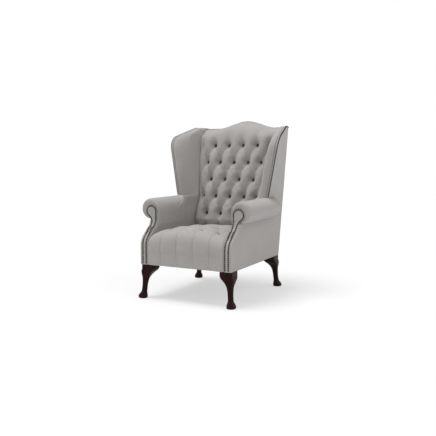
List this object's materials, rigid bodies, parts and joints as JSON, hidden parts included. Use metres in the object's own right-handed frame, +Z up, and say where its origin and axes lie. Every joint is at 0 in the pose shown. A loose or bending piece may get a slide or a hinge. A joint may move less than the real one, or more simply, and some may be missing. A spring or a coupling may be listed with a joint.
{
  "type": "wing chair",
  "caption": "High-back wing chair with a camel top, deep buttoned back, buttoned sprung seat, rolled arms, nail-head trim and carved cabriole legs.",
  "frame": {"origin": "on the floor under the middle of the chair's box", "axes": "+Z up, -Y towards the front of the chair, +X towards the sitter's left hand"},
  "size_m": [0.776, 0.8894, 1.0999],
  "materials": {
    "fabric": "matte woven",
    "inner_cloth": "matte woven",
    "webbing": "matte woven",
    "dark_wood": "gloss lacquer",
    "frame_wood": "sawn",
    "nail_metal": "antique, satin",
    "steel": "plain"
  },
  "bodies": {
    "root": {"arm_facing_left": "fabric", "arm_facing_right": "fabric", "arm_nail_trim_left": "nail_metal", "arm_nail_trim_right": "nail_metal", "arm_pad_left": "fabric", "arm_pad_right": "fabric", "arm_rail_left": "frame_wood", "arm_rail_right": "frame_wood", "arm_stump_left": "frame_wood", "arm_stump_right": "frame_wood", "arm_tack_rail_left": "frame_wood", "arm_tack_rail_right": "frame_wood", "back_buttons": "fabric", "back_cushion": "fabric", "back_lower_rail": "frame_wood", "back_nail_trim": "nail_metal", "back_post_left": "frame_wood", "back_post_right": "frame_wood", "back_top_rail": "frame_wood", "back_webbing": "webbing", "bottom_cover": "inner_cloth", "corner_blocks": "frame_wood", "front_leg_left": "dark_wood", "front_leg_right": "dark_wood", "front_seat_rail": "frame_wood", "leg_bolts": "steel", "outside_arm_left": "fabric", "outside_arm_right": "fabric", "outside_back": "fabric", "outside_wing_left": "fabric", "outside_wing_right": "fabric", "rear_leg_left": "dark_wood", "rear_leg_right": "dark_wood", "rear_seat_rail": "frame_wood", "seat_burlap": "inner_cloth", "seat_buttons": "fabric", "seat_cushion": "fabric", "seat_webbing": "webbing", "side_seat_rail_left": "frame_wood", "side_seat_rail_right": "frame_wood", "wing_frame_left": "frame_wood", "wing_frame_right": "frame_wood", "wing_nail_trim_left": "nail_metal", "wing_nail_trim_right": "nail_metal", "wing_pad_left": "fabric", "wing_pad_right": "fabric"}
  },
  "joints": []
}
